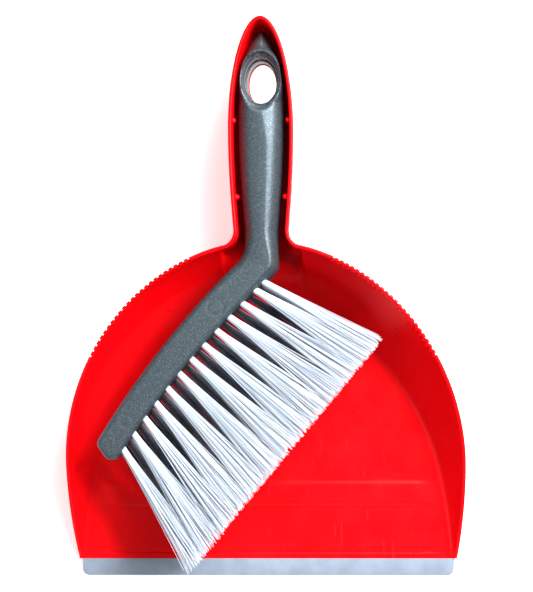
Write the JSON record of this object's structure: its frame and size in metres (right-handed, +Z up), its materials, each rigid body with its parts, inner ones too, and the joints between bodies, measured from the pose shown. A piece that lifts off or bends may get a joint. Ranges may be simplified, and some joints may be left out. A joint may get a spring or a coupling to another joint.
{
  "type": "dust pan and brush set",
  "caption": "Domed dust pan with a hollow handle, rubber lip and rim comb, and a curved hand brush stored in the handle that lifts straight out.",
  "frame": {"origin": "on the floor, under the middle of the whole set as stored", "axes": "+X across the pan to the right, +Y from the mouth to the handle, +Z up"},
  "size_m": [0.232, 0.323, 0.0519],
  "materials": {
    "pan_plastic": "fine satin moulded plastic",
    "lip_rubber": "smooth matt soft lip",
    "brush_plastic": "satin plastic with fine metal flake",
    "bristle": "straight synthetic filaments, slightly glossy",
    "anchor_steel": "drawn flat wire"
  },
  "bodies": {
    "pan": {"pan_body": "pan_plastic", "pan_lip": "lip_rubber"},
    "brush": {"brush_body": "brush_plastic", "anchors_top": "anchor_steel", "anchors_middle": "anchor_steel", "anchors_low": "anchor_steel", "tuft_top_1": "bristle", "tuft_top_2": "bristle", "tuft_top_3": "bristle", "tuft_top_4": "bristle", "tuft_top_5": "bristle", "tuft_top_6": "bristle", "tuft_top_7": "bristle", "tuft_top_8": "bristle", "tuft_top_9": "bristle", "tuft_top_10": "bristle", "tuft_top_11": "bristle", "tuft_top_12": "bristle", "tuft_top_13": "bristle", "tuft_middle_1": "bristle", "tuft_middle_2": "bristle", "tuft_middle_3": "bristle", "tuft_middle_4": "bristle", "tuft_middle_5": "bristle", "tuft_middle_6": "bristle", "tuft_middle_7": "bristle", "tuft_middle_8": "bristle", "tuft_middle_9": "bristle", "tuft_middle_10": "bristle", "tuft_middle_11": "bristle", "tuft_middle_12": "bristle", "tuft_low_1": "bristle", "tuft_low_2": "bristle", "tuft_low_3": "bristle", "tuft_low_4": "bristle", "tuft_low_5": "bristle", "tuft_low_6": "bristle", "tuft_low_7": "bristle", "tuft_low_8": "bristle", "tuft_low_9": "bristle", "tuft_low_10": "bristle", "tuft_low_11": "bristle", "tuft_low_12": "bristle", "tuft_low_13": "bristle"}
  },
  "joints": [
    {"name": "brush_lift", "type": "slide", "parent": "pan", "child": "brush", "axis": [0, 0, 1], "range_m": [0, 0.12]}
  ]
}
